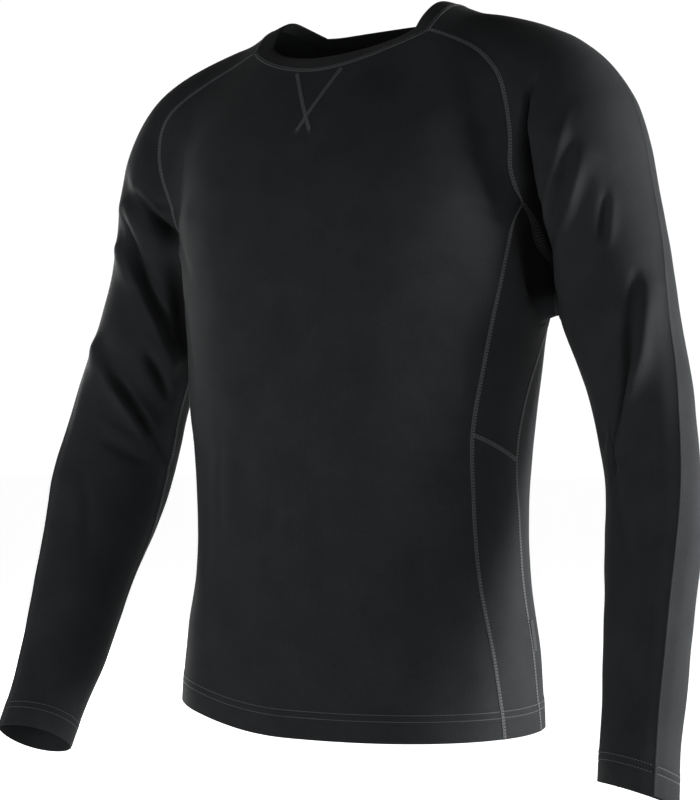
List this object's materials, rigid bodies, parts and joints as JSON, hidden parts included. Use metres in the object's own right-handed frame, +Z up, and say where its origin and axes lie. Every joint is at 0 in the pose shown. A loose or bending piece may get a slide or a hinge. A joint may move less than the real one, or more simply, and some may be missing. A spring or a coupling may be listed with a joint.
{
  "type": "base layer top",
  "caption": "Close-fitting long-sleeved raglan top in black jersey, hollow as worn, with a narrow ribbed neck band, open cuffs and inset side panels.",
  "frame": {"origin": "midway between the high points of the shoulders, level with the neck seam there", "axes": "+Z up, +X towards the wearer's left, front faces -Y"},
  "size_m": [0.7402, 0.2796, 0.7608],
  "materials": {
    "jersey": "brushed-back stretch jersey, matt black",
    "rib": "fine rib knit, matt black",
    "label": "plain woven tape, black"
  },
  "bodies": {
    "root": {"front": "jersey", "back": "jersey", "side_lower_left": "jersey", "side_lower_right": "jersey", "side_upper_left": "jersey", "side_upper_right": "jersey", "sleeve_front_left": "jersey", "sleeve_front_right": "jersey", "sleeve_back_left": "jersey", "sleeve_back_right": "jersey", "collar_band": "rib", "side_label": "label"}
  },
  "joints": []
}
